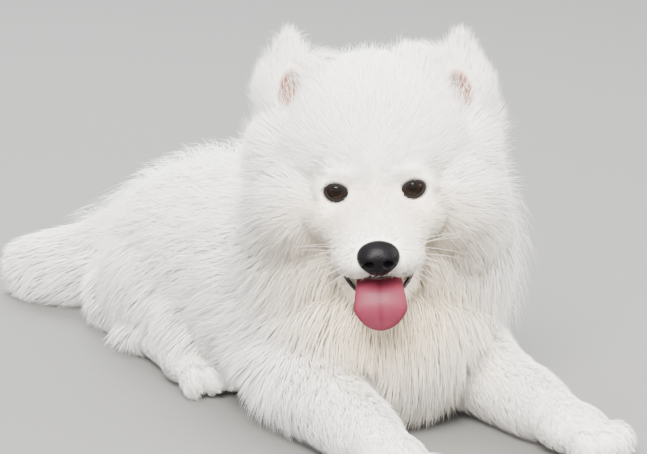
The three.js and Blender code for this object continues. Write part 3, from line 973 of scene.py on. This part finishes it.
class Tufts:
    """Roots on the skin and the tufts that grow from them."""

    def __init__(self, skin, seed):
        self.random = np.random.default_rng(seed)
        mesh = skin.data
        mesh.calc_loop_triangles()
        self.corners = read_array(mesh.loop_triangles, "vertices", 3, np.int32)
        self.loops = read_array(mesh.loop_triangles, "loops", 3, np.int32)
        self.points = coordinates(mesh)
        self.normals = read_array(mesh.vertices, "normal", 3, np.float32).astype(float)
        self.uv = read_array(mesh.uv_layers["OFBake"].data, "uv", 2, np.float32).astype(float)

    def grow(self, wanted):
        """Roots with their lie and sizes, more where the hair is short."""
        self.scatter(wanted)
        hair = Hair(self.root)
        lie = unit(hair.lie)
        lie += self.waves() + self.random.normal(0, LIE_SCATTER, lie.shape)
        lie -= self.normal * (lie * self.normal).sum(axis=1)[:, None]
        self.lie = unit(lie)
        lean = 0.18 * self.lie + self.random.normal(0, FACING_SCATTER, lie.shape)
        self.facing = unit(self.normal + lean)
        self.shade = self.random.uniform(0.85, 1.0, wanted)
        # The cream includes painted shade under the chin and on the breast
        self.cream_and_shade = markings(self.root)["cream_and_shade"]
        wisp = (self.random.random(wanted) < WISPS) & (self.root[:, 2] > WISPS_ABOVE * MM)
        vary = self.random.uniform(0.72, 1.12, wanted) * np.where(wisp, WISP_DEPTH, 1)
        self.depth = hair.depth * MM * vary
        self.length = hair.length * MM * self.random.uniform(0.75, 1.15, wanted)
        self.width = hair.width * sizes().tuft_width * self.random.uniform(0.8, 1.15, wanted)
        self.width *= np.where(wisp, WISP_WIDTH, 1)
        self.path = self.paths()

    def scatter(self, wanted):
        """Places roots on the skin, with the normal and the place on the unwrap there."""
        a, b, c = (self.points[self.corners[:, k]] for k in range(3))
        middle = (a + b + c) / 3
        cross = np.cross(b - a, c - a)
        area = 0.5 * np.linalg.norm(cross, axis=1)
        share = Hair(middle).density * area * ~bare(middle, unit(cross))
        chance = np.cumsum(share) / share.sum()
        face = np.searchsorted(chance, self.random.random(wanted))
        r = np.sqrt(self.random.random(wanted))[:, None]
        t = self.random.random(wanted)[:, None]
        weights = np.concatenate([1 - r, r * (1 - t), r * t], axis=1)[:, :, None]
        self.root = (self.points[self.corners[face]] * weights).sum(axis=1)
        self.normal = unit((self.normals[self.corners[face]] * weights).sum(axis=1))
        self.place = (self.uv[self.loops[face]] * weights).sum(axis=1)

    def waves(self):
        """A slow wander of the lie over the body, so that the coat parts into locks."""
        wander = np.zeros_like(self.root)
        for k, (period, amount) in enumerate(LIE_WAVES):
            turn = np.array(Euler((1.1 * k, 0.7 + k, 0.4 * k)).to_matrix())
            x, y, z = (self.root / MM @ turn * (2 * math.pi / period)).T
            swirl = [np.sin(y) * np.cos(z), np.sin(z) * np.cos(x), np.sin(x) * np.cos(y)]
            wander += amount * np.stack(swirl, axis=1)
        return wander

    def paths(self):
        """Places along each tuft, which rises from the skin, bends over and sags a little."""
        depth = self.depth[:, None]
        length = self.length[:, None]
        rise = depth * (1 - (1 - TUFT_STEPS) ** 2.2) - TUFT_SUNK * MM * (TUFT_STEPS == 0)
        run = length * TUFT_STEPS**1.45
        path = (
            self.root[:, None, :]
            + self.normal[:, None, :] * rise[:, :, None]
            + self.lie[:, None, :] * run[:, :, None]
        )
        path[:, :, 2] -= (0.12 * length * TUFT_STEPS**2) * (depth > 10 * MM)
        self.gather(path)
        over = np.abs(path[:, :, 0]) - COAT_REACH * MM
        path[:, :, 0] -= np.sign(path[:, :, 0]) * FLATTER * np.maximum(over, 0)
        path[:, 1:, 2] = np.maximum(path[:, 1:, 2], 0.8 * MM)
        return path

    def gather(self, path):
        """Leans tips towards the middle of their lock."""
        middles = np.arange(0, len(self.root), ROOTS_IN_A_LOCK)
        tree = KDTree(len(middles))
        for i, k in enumerate(middles):
            tree.insert(self.root[k], i)
        tree.balance()
        nearest = middles[np.array([tree.find(p)[1] for p in self.root])]
        gap = np.linalg.norm(self.root - self.root[nearest], axis=1)
        pull = sizes().clumping * fade(gap, 0.6 * self.length, 1.2 * self.length)
        share = pull[:, None] * TUFT_STEPS[None, :] ** 1.5
        path += (path[nearest] - path) * share[:, :, None]

    def rings(self, pick):
        """The corners of the picked tufts' rings, and the way out of the tuft at each."""
        path = self.path[pick]
        run = unit(path[:, 1:] - path[:, :-1])
        across = np.cross(run, self.normal[pick][:, None, :])
        spare = np.cross(run, np.array([0.3, 0.2, 0.93]))
        upright = np.linalg.norm(across, axis=2, keepdims=True) <= 0.15
        across = unit(np.where(upright, spare, across))
        up = np.cross(across, run)
        wide, high = RING_SECTION
        half = 0.5 * self.width[pick][:, None, None] * RING_WIDTHS[None, :, None]
        turns = [math.radians(a) for a in (90, 210, 330)]
        ways = [across * math.cos(a) * wide + up * math.sin(a) * high for a in turns]
        corners = [path[:, :-1] + way * half for way in ways]
        shape = (len(pick), -1, 3)
        return np.stack(corners, axis=2).reshape(shape), np.stack(ways, axis=2).reshape(shape)

    def mesh(self, name, pick):
        """One joined mesh of closed three-sided tufts, each with its patch of the unwrap."""
        corners, ways = self.rings(pick)
        points = np.concatenate([corners, self.path[pick][:, -1:]], axis=1)
        count, size = points.shape[:2]
        rings = len(RING_WIDTHS)
        index = (np.arange(count)[:, None, None] * size + tuft_faces(rings)[None]).reshape(-1)
        mesh = triangle_mesh(name, points.reshape(-1, 3), index)
        patch = np.array([(0, 0), (1, 0), (0.5, 1)] * rings + [(0.5, 0.5)]) * TUFT_PATCH - TUFT_PATCH / 2
        spread = self.place[pick][:, None, :] + patch[None]
        layer = mesh.uv_layers.new(name="OFBake")
        layer.data.foreach_set("uv", spread.reshape(-1, 2)[index].astype(np.float32).ravel())
        level = np.repeat(np.linspace(0, 1, rings + 1) ** 0.7, [3] * rings + [1])
        set_attribute(mesh, "shade", level[None, :] * self.shade[pick][:, None])
        set_attribute(mesh, "cream_and_shade", np.repeat(self.cream_and_shade[pick][:, None], size, axis=1))
        soft = self.facing[pick][:, None, :] + np.zeros((count, size, 3))
        soft[:, :-1] += 0.22 * ways
        mesh.normals_split_custom_set_from_vertices(unit(soft).reshape(-1, 3).tolist())
        return mesh


def tuft_faces(rings):
    """The triangles of one tuft: its root, its sides between rings and its tip."""
    faces = [(0, 1, 2)]
    last = 3 * (rings - 1)
    for level in range(0, last, 3):
        for k in range(3):
            a, b = level + k, level + (k + 1) % 3
            faces += [(a, b + 3, b), (a, a + 3, b + 3)]
    faces += [(last + k, last + 3, last + (k + 1) % 3) for k in range(3)]
    return np.array(faces)


def triangle_mesh(name, points, index):
    """A mesh from arrays of points and of the corners of its triangles."""
    mesh = bpy.data.meshes.new(name)
    mesh.vertices.add(len(points))
    mesh.vertices.foreach_set("co", points.astype(np.float32).ravel())
    mesh.loops.add(len(index))
    mesh.loops.foreach_set("vertex_index", index.astype(np.int32))
    mesh.polygons.add(len(index) // 3)
    mesh.polygons.foreach_set("loop_start", np.arange(0, len(index), 3, dtype=np.int32))
    mesh.update(calc_edges=True)
    mesh.shade_smooth()
    return mesh


class PUPPY_OT_coat(bpy.types.Operator):
    """Grows the coat over the skin, one piece for each region"""

    bl_idname = "puppy.coat"
    bl_label = "Coat"

    def execute(self, context):
        tufts = Tufts(bpy.data.objects["skin"], 7)
        tufts.grow(sizes().tufts // (1))
        names = region_names(tufts.root)
        look = coat_look()
        for name in sorted(set(names)):
            roots = np.nonzero(names == name)[0]
            for part, start in enumerate(range(0, len(roots), TUFTS_IN_A_PIECE)):
                label = f"{name}_{part + 1}"
                piece = new_object(label, tufts.mesh(label, roots[start : start + TUFTS_IN_A_PIECE]))
                keep(piece, look, "coat")
        return {"FINISHED"}


# Eyes, lids, nose and mouth


def eye_middle(s):
    return Vector((s * (EYE_APART / 2 - EYE_INWARD), EYE_BACK, 0))


def on_eye(s, across, up, height):
    """A point over the eyeball, across and up along its surface, in the head's frame."""
    turn = Euler([math.radians(a) for a in (EYE_DOWN, -EYE_TILT * s, EYE_OUT * s)]).to_matrix()
    radius = sizes().eye_radius / MM
    far = math.hypot(across, up) / radius
    way = math.atan2(up, across)
    ball = Vector((math.sin(far) * math.cos(way), -math.cos(far), math.sin(far) * math.sin(way)))
    return eye_middle(s) + turn @ ball * (radius + height)


class PUPPY_OT_eyes(bpy.types.Operator):
    """Makes the eyeballs and their lids"""

    bl_idname = "puppy.eyes"
    bl_label = "Eyes"

    def execute(self, context):
        ball_look = eye_look()
        lid_look = skin_look()
        for s, side in SIDES.items():
            self.ball(s, side, ball_look)
            self.lids(s, side, lid_look)
        return {"FINISHED"}

    def ball(self, s, side, look):
        """An eyeball with the bulge of its cornea towards the gaze."""
        bm, points = sphere(48, 40)
        angle = np.arccos(np.clip(points[:, 2], -1, 1))
        bulge = 0.6 * np.clip(1 - (angle / math.radians(36)) ** 2, 0, 1)
        radius = sizes().eye_radius / MM - 0.15 + bulge
        turn = np.array(GAZE.to_track_quat("Z", "Y").to_matrix())
        points = (points * radius[:, None]) @ turn.T + np.array(eye_middle(s))
        made = head_object(reshaped(bm, points), f"eyeball_{side}")
        set_attribute(made.data, "ring", angle / math.pi)
        keep(made, look, "eye", f"eye_{side}")

    def lids(self, s, side, look):
        """Rings from the wet edge over the rim and its fold to under the skin."""
        turns = round_turns(48)
        rings = [[self.lid_point(s, a, out, height) for a in turns] for out, height, _ in LID_RINGS]
        made = head_object(loft(rings, closed=False), f"eyelids_{side}")
        mark(made.data)
        set_attribute(made.data, "dark", np.repeat([dark for _, _, dark in LID_RINGS], len(turns)))
        keep(made, look, "coat")

    def lid_point(self, s, angle, out, height):
        """A point of a lid's ring: the corners are drawn out and the upper lid is thicker."""
        across, up = math.cos(angle), math.sin(angle)
        wide = EYE_OPENING[0] * (1 + 0.10 * abs(across) ** 5) + out
        high = EYE_OPENING[1] * (0.92 if up > 0 else 0.9) + out
        thicker = 0.35 * max(up, 0) * min(max(out, 0), 2.5)
        return on_eye(s, wide * across, high * up, height + thicker)


def bell(x, y=0.0, power=2):
    """1 in the middle of a spot, falling off to 0 past a distance of 1."""
    return np.exp(-(np.hypot(x, y) ** power))


class PUPPY_OT_nose(bpy.types.Operator):
    """Makes the nose leather with its nostrils and groove"""

    bl_idname = "puppy.nose"
    bl_label = "Nose"

    def execute(self, context):
        middle, radii = NOSE
        bm, ball = sphere(96, 72)
        x, y, z = (ball * radii).T
        above = np.clip(ball[:, 2], 0, 1)
        below = np.clip(-ball[:, 2], 0, 1)
        front = smoothstep(-ball[:, 1], 0.0, 0.5)
        x = x * (1 + 0.10 * ball[:, 2] - 0.10 * below**2)
        y = y + 1.6 * front * above**2
        for s in BOTH:
            hole = bell((x - 5.7 * s) / 2.9, (z + 1.5) / 2.5, 4)
            slit = bell((x - 9.6 * s) / 3.6, (z + 1.7 + 0.2 * s * x) / 1.2)
            wing = bell((x - 7.5 * s) / 5.5, (z - 2.2) / 3.5)
            y = y + front * (4.2 * hole + 2.2 * slit - 0.9 * wing)
        y = y + 1.1 * front * smoothstep(-z, -3.0, 1.0) * bell(x / 0.9)
        made = head_object(reshaped(bm, np.stack([x, y, z], axis=1) + middle), "nose_leather")
        look = Look("nose_leather", 0.42)
        look.mottled(colours().nose, scaled(colours().nose, 1.8), 350)
        look.bump(look.cells(850), 0.3, 0.0004)
        look.shine(0.06, 0.03, 0.25)
        keep(made, look, "nose", "nose")
        return {"FINISHED"}


class PUPPY_OT_mouth(bpy.types.Operator):
    """Makes the lips, the mouth's lining and the tongue"""

    bl_idname = "puppy.mouth"
    bl_label = "Mouth"

    def execute(self, context):
        self.lips()
        self.lining()
        self.tongue()
        return {"FINISHED"}

    def lips(self):
        made = head_object(joined([self.lip(UPPER_LIP, 1.9), self.lip(LOWER_LIP, 1.5)]), "lips")
        look = Look("lip_leather", 0.45)
        look.mottled(colours().dark, scaled(colours().dark, 2.2), 300)
        look.bump(look.noise(1500), 0.3, 0.0003)
        look.shine(0.25)
        keep(made, look, "nose")

    def lip(self, half, thick):
        """A lip from corner to corner, thinner in front and at its ends."""
        steps = 48
        rows = half + [mirrored(place, -1) for place in reversed(half[:-1])]
        path = [Vector(along_rows(rows, i / steps)) for i in range(steps + 1)]
        radii = []
        for i, place in enumerate(path):
            aside = 0.5 + 0.5 * min(1, abs(place.x) / 22)
            from_end = min(1, 0.4 + min(i, steps - i) / 5)
            radii.append(thick * aside * from_end)
        return tube(path, radii, 10)

    def lining(self):
        middle, radii = MOUTH_HOLLOW
        bm, ball = sphere(40, 24)
        made = head_object(reshaped(bm, ball * radii + middle), "mouth_lining")
        look = Look("mouth_lining", 0.35)
        look.mottled((0.10, 0.02, 0.022), (0.03, 0.008, 0.008), 120)
        look.bump(look.noise(500), 0.4, 0.0006)
        keep(made, look, "jaw")

    def tongue(self):
        """A flat tongue, darker at its rim, its tip and the groove down its middle."""
        along, around = 48, 40
        shares = [i / along for i in range(along + 1)]
        made = head_object(loft([self.tongue_ring(share, around) for share in shares]), "tongue_flesh")
        edge = np.tile(np.abs(np.cos(round_turns(around))), along + 1)
        share = np.repeat(shares, around)
        rim = np.maximum(smoothstep(edge, 0.8, 1.0), smoothstep(share, 0.90, 1.0))
        line = np.clip(1 - edge / 0.16, 0, 1) * fade(share, 0.85, 0.95)
        set_attribute(made.data, "rim", np.clip(0.75 * rim + 0.6 * line, 0, 1))
        look = Look("tongue_flesh", 0.5)
        tone = colours().tongue
        mottled = look.mixed(tone, scaled(tone, 1.18), look.noise(180))
        deep_tone = [0.72 * tone[0], 0.5 * tone[1], 0.55 * tone[2]]
        look.colour(look.mixed(mottled, deep_tone, look.attribute("rim")))
        look.bump(look.noise(1400, 2), 0.35, 0.0004)
        look.shine(0.16, 0.03, 0.25)
        keep(made, look, "tongue", "tongue")

    def tongue_ring(self, share, around):
        """A section of the tongue: grooved, its edges curled, and narrowing to a round tip."""
        middle, _, across, deep, wide, thick = section(TONGUE, share, X_AXIS)
        tip = math.sqrt(max(0.0, 1 - (max(share - 0.64, 0) / 0.363) ** 2))
        ring = []
        for angle in round_turns(around):
            x = math.cos(angle)
            z = math.sin(angle) * (0.75 + 0.25 * x * x) * (0.5 + 0.5 * tip)
            groove = 1.1 * math.exp(-((x * wide / 1.8) ** 2)) * tip * (1 if z > 0 else -0.3)
            curl = 1.4 * x * x * tip
            ring.append(middle - deep * (z * thick - groove + curl) + across * (x * wide * tip))
        return ring


class PUPPY_OT_whiskers(bpy.types.Operator):
    """Makes the whiskers and the claws"""

    bl_idname = "puppy.whiskers"
    bl_label = "Whiskers and claws"

    def execute(self, context):
        self.whiskers()
        self.claws()
        return {"FINISHED"}

    def whiskers(self):
        """Three rows of four thin whiskers on each side, longer towards the back."""
        random = np.random.default_rng(3)
        parts = []
        for s in BOTH:
            for row in range(3):
                for column in range(4):
                    start = Vector((s * (17 + 2.6 * column), -46 + 7 * column, -26 - 4.5 * row))
                    rise = 0.10 - 0.32 * row + random.normal(0, 0.14)
                    way = Vector((s, -0.15 + 0.28 * column, rise)).normalized()
                    length = 27 + 5 * column + random.uniform(-6, 6)
                    parts.append(self.whisker(start, way, length))
        made = head_object(joined(parts), "whiskers")
        look = Look("whisker", 0.3)
        look.mottled((0.75, 0.71, 0.64), (0.9, 0.88, 0.84), 90)
        keep(made, look, "coat")

    def whisker(self, start, way, length):
        """A whisker that bends back and down towards its thin tip."""
        steps = 6
        shares = [i / steps for i in range(steps + 1)]
        bend = Vector((0, 0.10, -0.16))
        path = [start + way * length * t + bend * length * t * t for t in shares]
        return tube(path, [0.13 - 0.102 * t for t in shares], 4)

    def claws(self):
        balls = Balls(16, 10)
        places = [paw_place(*FOREPAW[s]) for s in BOTH] + [hindpaw_place(s) for s in BOTH]
        for place in places:
            balls.toes(place, 10.6, -29.5, -7, (1.5, 4.6, 1.9), droop=24)
        made = balls.object("claws")
        look = Look("claw_horn", 0.3)
        look.mottled((0.42, 0.33, 0.26), (0.6, 0.5, 0.42), 400)
        keep(made, look, "nose")


# Stage


def aimed(made, place, aim):
    """Puts a lamp or the camera in its place and turns it to what it looks at."""
    made.location = place
    made.rotation_euler = (aim - made.location).to_track_quat("-Z", "Y").to_euler()


class PUPPY_OT_stage(bpy.types.Operator):
    """Sets the plain floor, the soft studio light and the camera"""

    bl_idname = "puppy.stage"
    bl_label = "Stage"

    def execute(self, context):
        self.floor()
        world = bpy.data.worlds.new("studio")
        context.scene.world = world
        world.use_nodes = True
        sky = world.node_tree.nodes["Background"].inputs
        sky["Color"].default_value = SKY
        sky["Strength"].default_value = SKY_STRENGTH
        for name, (place, size, power, colour) in LAMPS.items():
            light = bpy.data.lights.new(name, "AREA")
            light.size = size
            light.energy = power
            light.color = colour
            aimed(new_object(name, light), place, LAMPS_AIM)
        lens = bpy.data.cameras.new("camera")
        lens.sensor_width = 36
        lens.lens = CAMERA_LENS
        lens.clip_start = 0.01
        camera = new_object("camera", lens)
        aimed(camera, CAMERA_AT, CAMERA_AIM)
        context.scene.camera = camera
        return {"FINISHED"}

    def floor(self):
        bm = bmesh.new()
        bmesh.ops.create_grid(bm, x_segments=1, y_segments=1, size=9)
        floor = finished(bm, "floor")
        look = Look("studio_floor", 0.9)
        look.mottled(colours().floor, scaled(colours().floor, 0.94), 1.5)
        floor.data.materials.append(look.material)


class PUPPY_PT_panel(bpy.types.Panel):
    """Lists the puppy's sizes, colours and pieces"""

    bl_idname = "PUPPY_PT_panel"
    bl_label = "Samoyed puppy"
    bl_space_type = "VIEW_3D"
    bl_region_type = "UI"
    bl_category = "Puppy"

    def draw(self, context):
        for group in (context.scene.puppy_sizes, context.scene.puppy_colours):
            for name in group.__annotations__:
                self.layout.prop(group, name)
        for operator in STEPS:
            self.layout.operator(operator.bl_idname)


STEPS = (
    PUPPY_OT_skin,
    PUPPY_OT_coat,
    PUPPY_OT_eyes,
    PUPPY_OT_nose,
    PUPPY_OT_mouth,
    PUPPY_OT_whiskers,
    PUPPY_OT_stage,
)
CLASSES = (PuppySizes, PuppyColours, *STEPS, PUPPY_PT_panel)


def register():
    for each in CLASSES:
        bpy.utils.register_class(each)
    bpy.types.Scene.puppy_sizes = PointerProperty(type=PuppySizes)
    bpy.types.Scene.puppy_colours = PointerProperty(type=PuppyColours)


def unregister():
    del bpy.types.Scene.puppy_sizes
    del bpy.types.Scene.puppy_colours
    for each in reversed(CLASSES):
        bpy.utils.unregister_class(each)


def main():
    register()
    bpy.ops.puppy.skin()
    bpy.ops.puppy.coat()
    bpy.ops.puppy.eyes()
    bpy.ops.puppy.nose()
    bpy.ops.puppy.mouth()
    bpy.ops.puppy.whiskers()
    bpy.ops.puppy.stage()
    bpy.context.view_layer.update()


if __name__ == "__main__":
    main()
